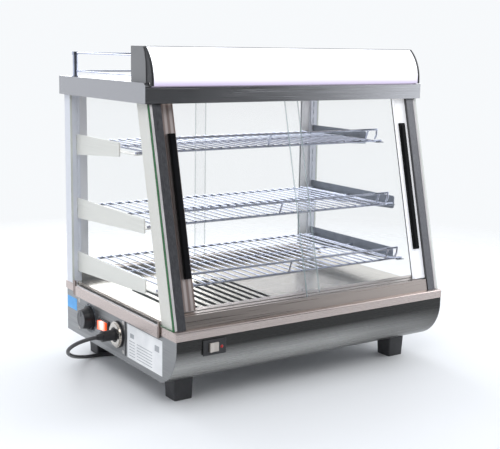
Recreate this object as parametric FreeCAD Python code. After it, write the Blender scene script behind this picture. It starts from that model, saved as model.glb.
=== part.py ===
"""Heated food holding cabinet for a counter: slanted glass front, sliding doors front and rear,
three wire shelves, a lit sign box on the roof and the controls on the left side.

Millimetres. The cabinet is drawn with x = 0 on its middle plane, y = 0 at the front of the base,
y growing towards the rear, and z = 0 on the counter. Every shape is moved by ORIGIN as it is
written, so that the row's origin lies on the counter under the middle of the whole object.
"""

import os

import FreeCAD, Part
from FreeCAD import Vector
from math import atan, cos, degrees, pi, radians, sin, sqrt, tan

# ---- driving dimensions -------------------------------------------------------------------
WIDTH = 678.0  # over the sills
DEPTH = 497.0  # front of the base to the back of the rear sill
SHEET = 1.2  # folded stainless sheet

FOOT_H = 51.0
FOOT_X, FOOT_YS = 278.0, (94.0, 442.0)
STUD_R = 4.0
BASE_TOP = 144.7
SILL_TOP = 162.0
DECK_TOP = 168.0
DECK_HALF, DECK_FRONT, DECK_REAR = 330.6, 65.0, 450.5
AIR_SLOTS, AIR_SLOT_R = 11, 5.5
AIR_SLOT_FIRST, AIR_SLOT_PITCH = -43.0, 22.0
AIR_SLOT_Y = (123.5, 314.5)  # centres of a slot's rounded ends
SLAB_TOP = 600.0  # top of the posts and tracks, inside the roof cap
CAP_BOTTOM = 578.5
CAP_TOP = 617.6

BASE_HALF = 338.0
BASE_REAR = 492.0
NOSE_R = 84.3  # the front panel curls under with this radius
NOSE_Z = 130.0  # height where the curl starts

SLANT_Y = 11.0  # front plane of the posts where it meets the sill
SLANT = atan(0.239)  # lean of the front, from the vertical

GLASS = 5.0
SIDE_GLASS_OUT = 339.0
POST_OUT = 333.8
POST_IN = 310.0
POST_DEPTH = 50.0
POST_WALL = 2.0

STANDARD_OUT = 338.0  # rear posts, slotted for the shelf brackets
STANDARD_IN = 316.0
STANDARD_FRONT = 462.0
STANDARD_REAR = 491.0
STANDARD_WALL = 1.6
SLOT_PITCH = 20.0
SLOT_W, SLOT_H = 4.2, 13.0
SLOT_FIRST, SLOT_COUNT = 185.0, 20

TRACK_H = 24.0
GROOVE = 6.4
FRONT_DOORS = {  # name: (side, centre plane behind the post face, outer edge, reach past the middle)
    "left": (-1, 28.0, 300.0, 31.0),
    "right": (1, 10.0, 309.0, 15.0),
}
STILE_W, STILE_T = 29.0, 8.0
HANDLE_W, HANDLE_D = 14.0, 8.0
HANDLE_INSET = 18.0  # from the outer edge of the door to the middle of its handle
HANDLE_LOW, HANDLE_HIGH = 94.0, 374.0  # along the slanted front, from the sill

REAR_DOORS = {"left": (-1, 484.0), "right": (1, 470.0)}  # name: (side, centre plane)
REAR_OVERLAP = 18.0
REAR_EDGE = 313.0
REAR_STILE_W, REAR_STILE_T = 22.0, 9.0

SHELVES = {  # name: (height of the rods, front rod, front end of the brackets)
    "top": (477.0, 197.0, 256.0),
    "middle": (337.0, 150.0, 150.0),
    "bottom": (217.0, 112.0, 146.0),
}
SHELF_REAR = 440.0
ROD_R, WIRE_R = 2.5, 1.5
WELD = 1.0  # depth that a welded wire sinks into the rod under it
WIRE_OVERHANG = 4.0  # of the wires past the front and rear rods
WIRE_PITCH, WIRES_EACH_SIDE = 22.0, 13
ROD_HALF = 318.0
GUARD_HALF, GUARD_H, GUARD_LEAN = 292.0, 27.0, 10.0
BRACKET_X, BRACKET_T = 323.0, 2.4
LEDGE_W = 18.0
GAP = 0.3  # between a lift-off or turning piece and what carries it

CAP_HALF = 346.0
CAP_FRONT, CAP_REAR = 104.2, 500.0
SIGN_HALF, SIGN_CAP_W = 336.0, 5.0
SIGN_REAR, SIGN_TOP = 178.0, 684.0
SIGN_FRONT, SIGN_BOTTOM = 98.0, 612.0
SIGN_R, SIGN_R_Z, SIGN_R_Y = 83.0, 620.0, 128.0  # curved front: radius, its start, its end
GALLERY_X, GALLERY_Y, GALLERY_TOP = 332.0, 445.0, 667.0

PLATE_FACE = 339.8  # outer face of the control plate on the left side
KNOB_Y, KNOB_Z, KNOB_R, KNOB_H = 370.0, 104.0, 26.5, 21.0
ROCKER_Y, ROCKER_Z = 300.0, 104.0
ROCKER_TILT = 6.0  # a rocker leans this far from its middle position, degrees
PIN_R, PIN_BORE_R = 1.5, 1.56
PIN_X = 4.0  # depth of the side rocker's pin behind the plate
GLAND_Y, GLAND_Z, GLAND_R = 237.5, 101.5, 27.0
PANEL_SWITCH_X, PANEL_SWITCH_Z = -255.0, 125.0
PANEL_ROCKER_X = -3.0  # middle of the rocker, from the middle of its housing
PIN_Y = 3.5  # depth of the front rocker's pin

CORD_D = 8.0
BOOT_R, BOOT_SHOULDER, BOOT_TIP = 11.0, 376.0, 387.0
COIL_X, COIL_Y, COIL_R = -100.0, 572.0, 44.0

POINTER_H = 0.8
KNOB_REACH = PLATE_FACE + GAP + KNOB_H + POINTER_H  # the knob is what stands out furthest
ORIGIN = Vector((KNOB_REACH - CAP_HALF) / 2, -CAP_REAR / 2, 0)

OUT = "parts"


# ---- helpers ------------------------------------------------------------------------------
def box(x0, y0, z0, x1, y1, z1):
    """A block between two corners."""
    return Part.makeBox(x1 - x0, y1 - y0, z1 - z0, Vector(x0, y0, z0))


def rod(start, end, r):
    """A round bar between two points."""
    along = Vector(*end) - Vector(*start)
    return Part.makeCylinder(r, along.Length, Vector(*start), along)


def prism_x(points, x0, x1):
    """A flat outline in y and z, drawn out along x."""
    wire = Part.makePolygon([Vector(x0, y, z) for y, z in points + points[:1]])
    return Part.Face(wire).extrude(Vector(x1 - x0, 0, 0))


def edges_prism_x(edges, x0, x1):
    """The same for an outline of lines and arcs, drawn at x = 0."""
    face = Part.Face(Part.Wire(edges))
    face.translate(Vector(x0, 0, 0))
    return face.extrude(Vector(x1 - x0, 0, 0))


def line(a, b):
    return Part.LineSegment(Vector(0, *a), Vector(0, *b)).toShape()


def arc(a, middle, b):
    return Part.Arc(Vector(0, *a), Vector(0, *middle), Vector(0, *b)).toShape()


def mirrored(shape):
    """The same piece on the other side of the middle plane."""
    return shape.mirror(Vector(0, 0, 0), Vector(1, 0, 0))


def leaned(shape):
    """A piece drawn upright with w = y and v = z, laid onto the slanted front."""
    turned = shape.copy()
    turned.rotate(Vector(0, 0, 0), Vector(1, 0, 0), -degrees(SLANT))
    turned.translate(Vector(0, SLANT_Y, SILL_TOP))
    return turned


def along_front(z, w):
    """Distance up the slanted front at height z, for a point w behind the post face."""
    return (z - SILL_TOP + w * sin(SLANT)) / cos(SLANT)


def between_heights(shape, low, high):
    """What of a shape lies between two heights."""
    return shape.common(box(-400, -100, low, 400, 700, high)).removeSplitter()


def edges_at(shape, at):
    """The edges of a shape whose two ends pass a test."""
    return [e for e in shape.Edges if all(at(v.Point) for v in e.Vertexes)]


def save(name, *solids):
    """Write one sub-part, moved to the row's origin."""
    made = [s for shape in solids for s in shape.Solids]
    for solid in made:
        solid.translate(ORIGIN)
    shape = made[0] if len(made) == 1 else Part.makeCompound(made)
    if not shape.isValid():
        print("not valid:", name)
    shape.exportStep(os.path.join(OUT, name + ".step"))


# ---- base ---------------------------------------------------------------------------------
def nose(inset):
    """Where the curled front of the base is at a sheet's depth: top, start, middle, end."""
    r = NOSE_R - inset
    low = sqrt(r * r - (NOSE_Z - FOOT_H) ** 2)
    turn = atan((NOSE_Z - FOOT_H) / low) / 2
    middle = (NOSE_R - r * cos(turn), NOSE_Z - r * sin(turn))
    return (inset, BASE_TOP), (inset, NOSE_Z), middle, (NOSE_R - low, FOOT_H)


def control_holes(x0, x1):
    """The holes through the left side for the knob's shaft, the switch and the cord."""
    shaft = rod((x0, KNOB_Y, KNOB_Z), (x1, KNOB_Y, KNOB_Z), 5.0)
    switch = box(x0, ROCKER_Y - 18.6, ROCKER_Z - 11.6, x1, ROCKER_Y + 18.6, ROCKER_Z + 11.6)
    cord = rod((x0, GLAND_Y, GLAND_Z), (x1, GLAND_Y, GLAND_Z), 15.2)
    return shaft.fuse([switch, cord])


def base():
    top, start, middle, end = nose(0.0)
    outline = [line((BASE_REAR, BASE_TOP), top), line(top, start), arc(start, middle, end)]
    outline += [line(end, (BASE_REAR, FOOT_H)), line((BASE_REAR, FOOT_H), (BASE_REAR, BASE_TOP))]
    right = edges_prism_x(outline, BASE_HALF - SHEET, BASE_HALF)
    flange = box(300, 70, BASE_TOP - SHEET, BASE_HALF - SHEET, 470, BASE_TOP)
    right = right.fuse(flange).removeSplitter()
    save("base_side_left", mirrored(right).cut(control_holes(-345, -330)))
    save("base_side_right", right)

    i_top, i_start, i_middle, i_end = nose(SHEET)
    sheet = [line(top, start), arc(start, middle, end), line(end, i_end)]
    sheet += [arc(i_end, i_middle, i_start), line(i_start, i_top), line(i_top, top)]
    inner_half = BASE_HALF - SHEET
    front = edges_prism_x(sheet, -inner_half, inner_half)
    front = front.fuse(box(-inner_half, 0.5, BASE_TOP - SHEET, inner_half, 30, BASE_TOP))
    hole = box(PANEL_SWITCH_X - 20, -5, PANEL_SWITCH_Z - 12, PANEL_SWITCH_X + 20, 20, PANEL_SWITCH_Z + 12)
    save("base_front_panel", front.cut(hole).removeSplitter())

    rear = box(-inner_half, BASE_REAR - SHEET, FOOT_H, inner_half, BASE_REAR, BASE_TOP)
    flange = box(-inner_half, 475, BASE_TOP - SHEET, inner_half, BASE_REAR - SHEET, BASE_TOP)
    save("base_rear_panel", rear.fuse(flange).removeSplitter())
    floor = box(-inner_half, i_end[0] + 0.3, FOOT_H, inner_half, BASE_REAR - SHEET, FOOT_H + SHEET)
    holes = [rod((x, y, 40), (x, y, 60), STUD_R + GAP) for x in (-FOOT_X, FOOT_X) for y in FOOT_YS]
    save("base_bottom_plate", floor.cut(holes[0].fuse(holes[1:])))


def square(x, y, z, half):
    corners = [(-1, -1), (1, -1), (1, 1), (-1, 1), (-1, -1)]
    return Part.makePolygon([Vector(x + a * half, y + b * half, z) for a, b in corners])


def feet():
    """Four square plastic feet, a little wider at the top, each with its stud."""
    made = []
    for x in (-FOOT_X, FOOT_X):
        for y in FOOT_YS:
            foot = Part.makeLoft([square(x, y, 0, 20), square(x, y, FOOT_H, 22)], True, True)
            upright = [e for e in foot.Edges if abs(e.Vertexes[0].Z - e.Vertexes[1].Z) > 10]
            foot = foot.makeFillet(4.0, upright)
            foot = foot.fuse(rod((x, y, FOOT_H - 1), (x, y, FOOT_H + 12), STUD_R))
            made.append(foot.cut(rod((x, y, -1), (x, y, 6), 6.0)))
    save("feet", *made)


def sills():
    """The folded rails around the top of the base that carry the posts."""
    half = WIDTH / 2
    front = box(-half, 0, BASE_TOP, half, 58, SILL_TOP)
    lip = edges_at(front, lambda p: p.y < 0.1 and p.z > SILL_TOP - 0.1)
    front = front.makeFillet(3.0, lip)
    hollow = box(-half + 2, 3.2, BASE_TOP - 1, half - 2, 56, SILL_TOP - 1.6)
    save("sill_front", front.cut(hollow))
    rear = box(-half, 451, BASE_TOP, half, DEPTH, SILL_TOP)
    lip = edges_at(rear, lambda p: p.y > DEPTH - 0.1 and p.z > SILL_TOP - 0.1)
    rear = rear.makeFillet(3.0, lip)
    save("sill_rear", rear.cut(box(-half + 2, 453, BASE_TOP - 1, half - 2, DEPTH - 3.2, SILL_TOP - 1.6)))


def deck():
    """The floor of the warm space: an upturned tray with a row of air slots on its left half."""
    tray = box(-DECK_HALF, DECK_FRONT, BASE_TOP, DECK_HALF, DECK_REAR, DECK_TOP)
    inner = DECK_HALF - SHEET
    tray = tray.cut(box(-inner, DECK_FRONT + SHEET, 0, inner, DECK_REAR - SHEET, DECK_TOP - SHEET))
    y0, y1 = AIR_SLOT_Y
    slots = []
    for i in range(AIR_SLOTS):
        x = AIR_SLOT_FIRST - AIR_SLOT_PITCH * i
        slots.append(box(x - AIR_SLOT_R, y0, 150, x + AIR_SLOT_R, y1, 180))
        slots += [rod((x, y, 150), (x, y, 180), AIR_SLOT_R) for y in (y0, y1)]
    save("deck_plate", tray.cut(slots[0].fuse(slots[1:])).removeSplitter())


def heating():
    """The tubular element under the slots, the thermostat behind the knob and the terminals."""
    xs = [-240.0, -190.0, -140.0, -90.0]
    y0, y1, z, r = 150.0, 320.0, 118.0, 4.0
    element = rod((xs[0], y0 - 40, z), (xs[0], y1, z), r)
    for i in range(3):
        middle_x, radius = (xs[i] + xs[i + 1]) / 2, (xs[i + 1] - xs[i]) / 2
        y = y1 if i % 2 == 0 else y0
        ring = Part.makeTorus(radius, r, Vector(middle_x, y, z), Vector(0, 0, 1))
        half = box(xs[i] - 10, y if i % 2 == 0 else y - 60, z - 10, xs[i + 1] + 10,
                   y + 60 if i % 2 == 0 else y, z + 10)
        element = element.fuse(ring.common(half))
        element = element.fuse(rod((xs[i + 1], y0 if i < 2 else y0 - 40, z), (xs[i + 1], y1, z), r))
    legs = [rod((x, y0 - 30, FOOT_H + SHEET), (x, y0 - 30, z - 2), 5.0) for x in (xs[0], xs[3])]
    save("heating_element", element.fuse(legs).removeSplitter())

    body = box(-334, KNOB_Y - 22, KNOB_Z - 18, -302, KNOB_Y + 22, KNOB_Z + 18)
    body = body.fuse(rod((-354, KNOB_Y, KNOB_Z), (-334, KNOB_Y, KNOB_Z), 3.0))
    bulb = rod((-302, KNOB_Y, KNOB_Z), (-262, KNOB_Y, KNOB_Z), 3.0)
    save("thermostat", body.fuse(bulb).removeSplitter())
    block = box(-322, 190, FOOT_H + SHEET, -292, 285, 78)
    for i in range(5):
        block = block.cut(rod((-307, 201 + 18 * i, 70), (-307, 201 + 18 * i, 80), 4.5))
    save("terminal_block", block)


def controls():
    """The plate on the left side with the knob, the lit rocker and the cord's gland."""
    plate = box(-PLATE_FACE, 205, 63, -BASE_HALF - 0.05, 432, 138)
    plate = plate.makeFillet(2.0, [e for e in plate.Edges if e.BoundBox.XLength > 1])
    save("control_plate", plate.cut(control_holes(-345, -330)))

    screws = []
    for y in (212.5, 424.5):
        for z in (70.5, 131.0):
            head = Part.makeSphere(6.5, Vector(-PLATE_FACE + 4.6, y, z))
            head = head.common(box(-360, y - 10, z - 10, -PLATE_FACE, y + 10, z + 10))
            head = head.cut(box(-350, y - 3.2, z - 0.5, -PLATE_FACE - 1.1, y + 3.2, z + 0.5))
            screws.append(head.cut(box(-350, y - 0.5, z - 3.2, -PLATE_FACE - 1.1, y + 0.5, z + 3.2)))
    save("control_screws", *screws)

    knob_back = -(PLATE_FACE + GAP)
    skirt = Part.makeCylinder(KNOB_R, 5.0, Vector(knob_back, KNOB_Y, KNOB_Z), Vector(-1, 0, 0))
    grip = Part.makeCone(KNOB_R - 3.0, 20.0, KNOB_H - 5.0, Vector(knob_back - 5.0, KNOB_Y, KNOB_Z),
                         Vector(-1, 0, 0))
    knob = skirt.fuse(grip)
    for i in range(24):
        a = 2 * pi * i / 24
        y, z = KNOB_Y + (KNOB_R - 1.2) * cos(a), KNOB_Z + (KNOB_R - 1.2) * sin(a)
        groove = rod((knob_back - 5.6, y, z), (knob_back - KNOB_H - 1, y, z), 3.0)
        knob = knob.cut(groove)
    pointer = box(knob_back - KNOB_H - POINTER_H, KNOB_Y - 1.2, KNOB_Z + 6, knob_back - KNOB_H + 1,
                  KNOB_Y + 1.2, KNOB_Z + 18)
    bore = rod((knob_back + 1, KNOB_Y, KNOB_Z), (-354.6, KNOB_Y, KNOB_Z), 3.06)
    save("thermostat_knob", knob.fuse(pointer).cut(bore).removeSplitter())


def switch_on_side():
    """A lit rocker in its housing, which tips about an upright pin."""
    face = -PLATE_FACE
    rim = box(face - 3.0, ROCKER_Y - 25, ROCKER_Z - 14, face - 0.05, ROCKER_Y + 22, ROCKER_Z + 14)
    rim = rim.makeFillet(1.5, [e for e in rim.Edges if e.BoundBox.XLength > 2 or e.BoundBox.XMax < face - 2])
    shell = box(face - 1.0, ROCKER_Y - 18.4, ROCKER_Z - 11.4, face + 22, ROCKER_Y + 18.4, ROCKER_Z + 11.4)
    cavity = box(face - 5, ROCKER_Y - 17.2, ROCKER_Z - 9.9, face + 19, ROCKER_Y + 17.2, ROCKER_Z + 9.9)
    pin = rod((face + PIN_X, ROCKER_Y, ROCKER_Z - 10.5), (face + PIN_X, ROCKER_Y, ROCKER_Z + 10.5), PIN_R)
    save("side_switch_housing", rim.fuse(shell).cut(cavity).fuse(pin).removeSplitter())
    outline = [(-15.6, 3.0), (-15.6, -8.0), (0.0, -5.6), (15.6, -8.0), (15.6, 3.0), (6.0, 8.0), (-6.0, 8.0)]
    corners = [Vector(face + v, ROCKER_Y + u, ROCKER_Z - 9.3) for u, v in outline + outline[:1]]
    rocker = Part.Face(Part.makePolygon(corners)).extrude(Vector(0, 0, 18.6))
    pivot_x = face + PIN_X
    bore = rod((pivot_x, ROCKER_Y, ROCKER_Z - 12), (pivot_x, ROCKER_Y, ROCKER_Z + 12), PIN_BORE_R)
    rocker = rocker.cut(bore)
    rocker.rotate(Vector(face + PIN_X, ROCKER_Y, ROCKER_Z), Vector(0, 0, 1), ROCKER_TILT)
    save("side_switch_rocker", rocker)


def switch_on_front():
    """The rocker on the front panel, in a wide housing, which tips about an upright pin."""
    x, z = PANEL_SWITCH_X, PANEL_SWITCH_Z
    rim = box(x - 25.5, -3.4, z - 15.2, x + 25.5, -0.1, z + 15.2)
    rim = rim.makeFillet(1.4, [e for e in rim.Edges if e.BoundBox.YLength > 2 or e.BoundBox.YMax < -2])
    shell = box(x - 19.6, -1.0, z - 11.6, x + 19.6, 22, z + 11.6)
    middle = x + PANEL_ROCKER_X
    opening = box(middle - 11.0, -6, z - 9.4, middle + 11.0, 19, z + 9.4)
    pin = rod((middle, PIN_Y, z - 10.2), (middle, PIN_Y, z + 10.2), PIN_R)
    save("front_switch_housing", rim.fuse(shell).cut(opening).fuse(pin).removeSplitter())
    outline = [(-9.6, -3.0), (-9.6, -6.6), (0.0, -5.0), (9.6, -6.6), (9.6, -3.0), (4.5, 8.0), (-4.5, 8.0)]
    wire = Part.makePolygon([Vector(middle + u, v, z - 8.8) for u, v in outline + outline[:1]])
    rocker = Part.Face(wire).extrude(Vector(0, 0, 17.6))
    rocker = rocker.cut(rod((middle, PIN_Y, z - 12), (middle, PIN_Y, z + 12), PIN_BORE_R))
    rocker.rotate(Vector(middle, PIN_Y, z), Vector(0, 0, 1), ROCKER_TILT)
    save("front_switch_rocker", rocker)


# ---- frame and glass ----------------------------------------------------------------------
def posts():
    """The two leaning front posts and the two slotted rear ones."""
    tube = box(POST_IN, 0, -20, POST_OUT, POST_DEPTH, 480)
    inside = box(POST_IN + POST_WALL, POST_WALL, -30, POST_OUT - POST_WALL, POST_DEPTH - POST_WALL, 490)
    right = between_heights(leaned(tube.cut(inside)), SILL_TOP, SLAB_TOP)
    save("front_post_left", mirrored(right))
    save("front_post_right", right)

    standard = box(STANDARD_IN, STANDARD_FRONT, SILL_TOP, STANDARD_OUT, STANDARD_REAR, SLAB_TOP)
    w = STANDARD_WALL
    hollow = box(STANDARD_IN + w, STANDARD_FRONT + w, 0, STANDARD_OUT - w, STANDARD_REAR - w, 700)
    standard = standard.cut(hollow)
    slots = []
    for i in range(SLOT_COUNT):
        z = SLOT_FIRST + SLOT_PITCH * i
        x0, x1 = BRACKET_X - SLOT_W / 2, BRACKET_X + SLOT_W / 2
        slots.append(box(x0, 460, z - SLOT_H / 2, x1, 464.5, z + SLOT_H / 2))
    right = standard.cut(slots[0].fuse(slots[1:]))
    save("rear_post_left", mirrored(right))
    save("rear_post_right", right)


def side_glass():
    """The fixed side panes and the channels that hold their lower edges."""
    top = SLAB_TOP - 5
    lean = tan(SLANT)
    outline = [(SLANT_Y + 0.3, SILL_TOP + 0.3), (SLANT_Y + 0.3 + (top - SILL_TOP) * lean, top)]
    outline += [(461.4, top), (461.4, SILL_TOP + 0.3), (437.0, SILL_TOP + 0.3), (437.0, 147.2)]
    outline += [(64.6, 147.2), (64.6, SILL_TOP + 0.3)]
    right = prism_x(outline, SIDE_GLASS_OUT - GLASS, SIDE_GLASS_OUT)
    save("side_glass_left", mirrored(right))
    save("side_glass_right", right)

    inner, outer = 331.0, 342.6
    lip = box(SIDE_GLASS_OUT + 0.3, 64, 138, outer, 438, 161)
    long_edges = [e for e in lip.Edges if e.BoundBox.YLength > 300]
    lip = lip.makeFillet(1.2, [e for e in long_edges if e.BoundBox.XMin > outer - 0.1])
    seat = box(inner, 64, BASE_TOP + 0.1, SIDE_GLASS_OUT + 1, 438, BASE_TOP + 2.1)
    wall = box(inner, 64, BASE_TOP + 0.1, SIDE_GLASS_OUT - GLASS - 0.3, 438, 166)
    channel = lip.fuse([seat, wall]).removeSplitter()
    save("glass_channels", channel, mirrored(channel))


def tracks():
    """The grooved rails that the doors slide in, front and rear, bottom and top."""
    half = POST_IN - 0.3
    block = box(-half, 2, -30, half, POST_DEPTH - 2, 500)
    low, high = block.copy(), block.copy()
    for _, w, _, _ in FRONT_DOORS.values():
        floor, roof = along_front(167.4, w), along_front(597.0, w)
        low = low.cut(box(-half - 1, w - GROOVE / 2, floor, half + 1, w + GROOVE / 2, 60))
        high = high.cut(box(-half - 1, w - GROOVE / 2, 300, half + 1, w + GROOVE / 2, roof))
    save("front_track_bottom", between_heights(leaned(low), SILL_TOP, SILL_TOP + TRACK_H))
    save("front_track_top", between_heights(leaned(high), CAP_BOTTOM + 1, SLAB_TOP))

    half = STANDARD_IN - 0.3
    low = box(-half, 463.5, SILL_TOP, half, 490.5, SILL_TOP + TRACK_H)
    high = box(-half, 463.5, CAP_BOTTOM + 1, half, 490.5, SLAB_TOP)
    for _, y in REAR_DOORS.values():
        low = low.cut(box(-400, y - GROOVE / 2, 167.4, 400, y + GROOVE / 2, 300))
        high = high.cut(box(-400, y - GROOVE / 2, 500, 400, y + GROOVE / 2, 597))
    save("rear_track_bottom", low)
    save("rear_track_top", high)


def front_door(name, side, w, edge, reach):
    """One leaning door: pane, stile and handle. side is -1 on the left and 1 on the right."""
    def across(a, b, w0, v0, w1, v1):
        x0, x1 = sorted((side * a, side * b))
        return box(x0, w0, v0, x1, w1, v1)

    near, far = w - GLASS / 2, w + GLASS / 2
    front = w - STILE_T / 2
    pane = across(-reach, edge - 1.5, near, along_front(167.8, w), far, along_front(593.0, w))
    low, high = along_front(SILL_TOP + TRACK_H + 1.5, w), along_front(CAP_BOTTOM - 0.5, w)
    stile = across(edge - STILE_W, edge, front, low, w + STILE_T / 2, high)
    slot = across(edge - STILE_W - 1, edge - 1.4, near - 0.05, low - 1, far + 0.05, high + 1)

    back = front - 0.05
    chamfer = HANDLE_D - 3
    outline = [(back, HANDLE_LOW), (back, HANDLE_HIGH), (back - chamfer, HANDLE_HIGH)]
    outline += [(back - HANDLE_D, HANDLE_HIGH - 6), (back - HANDLE_D, HANDLE_LOW + 6)]
    outline += [(back - chamfer, HANDLE_LOW)]
    middle = side * (edge - HANDLE_INSET)
    handle = prism_x(outline, middle - HANDLE_W / 2, middle + HANDLE_W / 2)
    ridge = [e for e in handle.Edges if e.BoundBox.ZLength > 200 and e.BoundBox.YMax < back - HANDLE_D + 0.1]
    save("front_door_" + name + "_glass", leaned(pane))
    save("front_door_" + name + "_stile", leaned(stile.cut(slot)))
    save("front_door_" + name + "_handle", leaned(handle.makeFillet(3.0, ridge)))


def rear_door(name, side, y):
    """One upright door: pane and a stile with a finger grip on its outer face."""
    def across(a, b, y0, z0, y1, z1):
        x0, x1 = sorted((side * a, side * b))
        return box(x0, y0, z0, x1, y1, z1)

    near, far = y - GLASS / 2, y + GLASS / 2
    low, high = SILL_TOP + TRACK_H + 1.5, CAP_BOTTOM - 0.5
    save("rear_door_" + name + "_glass", across(-REAR_OVERLAP, REAR_EDGE - 1.5, near, 167.8, far, 593.0))
    stile = across(REAR_EDGE - REAR_STILE_W, REAR_EDGE, y - REAR_STILE_T / 2, low, y + REAR_STILE_T / 2, high)
    slot = across(REAR_EDGE - REAR_STILE_W - 1, REAR_EDGE - 1.4, near - 0.05, low - 1, far + 0.05, high + 1)
    grip = across(REAR_EDGE - 15, REAR_EDGE - 7, y + 3.3, 300, y + 6, 460)
    save("rear_door_" + name + "_stile", stile.cut(slot).cut(grip))


# ---- shelves ------------------------------------------------------------------------------
def shelf(name, z, front):
    """A welded wire shelf and its raised front guard."""
    rear = SHELF_REAR
    middle = 0.47 * front + 0.53 * rear
    grid = rod((-ROD_HALF, front, z), (ROD_HALF, front, z), ROD_R)
    grid = grid.fuse([rod((-ROD_HALF, y, z), (ROD_HALF, y, z), ROD_R) for y in (middle, rear)])
    wire_z = z + ROD_R + WIRE_R - WELD
    wires = []
    for i in range(WIRES_EACH_SIDE):
        for x in (-WIRE_PITCH * (i + 0.5), WIRE_PITCH * (i + 0.5)):
            wires.append(rod((x, front - WIRE_OVERHANG, wire_z), (x, rear + WIRE_OVERHANG, wire_z), WIRE_R))
    for x in (-GUARD_HALF, GUARD_HALF):
        wires.append(rod((x, front - WIRE_OVERHANG, z + 0.7), (x, rear + WIRE_OVERHANG, z + 0.7), 2.2))
    grid = grid.fuse(wires)

    foot = z + ROD_R + 0.15
    top = z + GUARD_H

    def leg(x):
        start = Vector(x, front, foot)
        end = Vector(x, front - GUARD_LEAN, top)
        return Part.makeCylinder(2.0, (end - start).Length, start, end - start)

    rail = rod((-GUARD_HALF - 3, front - GUARD_LEAN, top), (GUARD_HALF + 3, front - GUARD_LEAN, top), 2.4)
    legs = [leg(x) for x in (-270.0, 0.0, 270.0)]
    guard = rail.fuse(legs)
    for side in (-1, 1):
        x = side * (GUARD_HALF + 3)
        ball = Part.makeSphere(2.4, Vector(x, front - GUARD_LEAN, top))
        tip = Vector(side * 299.0, front - GUARD_LEAN / 2, z + GUARD_H / 2)
        start, end = Vector(x, front - GUARD_LEAN, top), Vector(side * 297.0, front - 1.5, foot + 2.0)
        upper = Part.makeCylinder(2.2, (tip - start).Length, start, tip - start)
        lower = Part.makeCylinder(2.2, (end - tip).Length, tip, end - tip)
        guard = guard.fuse([ball, upper, Part.makeSphere(2.2, tip), lower])
    clear = box(-400, front - 40, z - 20, 400, front + 20, foot)
    guard = guard.cut(clear).cut(grid)
    save("shelf_" + name, grid, guard.removeSplitter())


def brackets(name, z, front, tip):
    """A pair of cantilever brackets that hook into the slots of the rear posts."""
    back = STANDARD_FRONT - 0.3
    outline = [(back, z - 29), (back, z + 16), (tip + 3, z + 16), (tip, z + 13)]
    outline += [(tip, z - 10), (tip + 3, z - 13)]
    x0, x1 = BRACKET_X - BRACKET_T / 2, BRACKET_X + BRACKET_T / 2
    plate = prism_x(outline, x0, x1)
    for slot_z in (z - 12, z + 8):
        hook = [(back - 1, slot_z - 4), (back - 1, slot_z + 4.5), (back + 6, slot_z + 4.5)]
        hook += [(back + 6, slot_z - 6), (back + 2.6, slot_z - 6), (back + 2.6, slot_z - 4)]
        plate = plate.fuse(prism_x(hook, x0, x1))
    ledge = box(x0 - LEDGE_W, front - 5, z - 4.4, x0 + 0.5, 452, z - ROD_R - GAP)
    bracket = plate.fuse(ledge).removeSplitter()
    save("brackets_" + name, mirrored(bracket), bracket)


# ---- roof and sign box --------------------------------------------------------------------
def roof():
    """The roof cap, the frame that the posts are screwed to, and the ceiling with its lamp."""
    cap = box(-CAP_HALF, CAP_FRONT, CAP_BOTTOM, CAP_HALF, CAP_REAR, CAP_TOP)
    crown = edges_at(cap, lambda p: p.y < CAP_FRONT + 0.1 and p.z > CAP_TOP - 0.1)
    cap = cap.makeFillet(10.0, crown)
    inside = box(-CAP_HALF + SHEET, CAP_FRONT + SHEET, 0, CAP_HALF - SHEET, CAP_REAR - SHEET, CAP_TOP - SHEET)
    crown = edges_at(inside, lambda p: p.y < CAP_FRONT + SHEET + 0.1 and p.z > CAP_TOP - SHEET - 0.1)
    save("roof_cap", cap.cut(inside.makeFillet(8.8, crown)))

    x, y0, y1, low, high = 343.0, 117.0, 497.0, SLAB_TOP + 0.3, SLAB_TOP + 3.3
    frame = box(-x, y0, low, x, y1, high).cut(box(-x + 36, y0 + 46, 0, x - 36, y1 - 34, 700))
    save("roof_frame", frame)
    save("ceiling_panel", box(-333, 168.5, SLAB_TOP - 2, 333, 461.5, SLAB_TOP))


def lamp(half, y, z, r):
    """A straight lamp tube with a cap at each end."""
    made = [rod((-half, y, z), (half, y, z), r)]
    for x in (-half - 0.2, half + 0.2):
        step = -12.0 if x < 0 else 12.0
        made.append(rod((x, y, z), (x + step, y, z), r + 1.0))
    return made


def sign_outline(inset):
    """The curved front of the sign box: foot, start of the curve, its middle and its end."""
    r = SIGN_R - inset
    centre = SIGN_FRONT + SIGN_R
    start = (SIGN_FRONT + inset, SIGN_R_Z)
    end_turn = atan((SIGN_TOP - SIGN_R_Z) / (centre - SIGN_R_Y))
    middle = (centre - r * cos(end_turn / 2), SIGN_R_Z + r * sin(end_turn / 2))
    end = (centre - r * cos(end_turn), SIGN_R_Z + r * sin(end_turn))
    return (SIGN_FRONT + inset, SIGN_BOTTOM), start, middle, end


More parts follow.
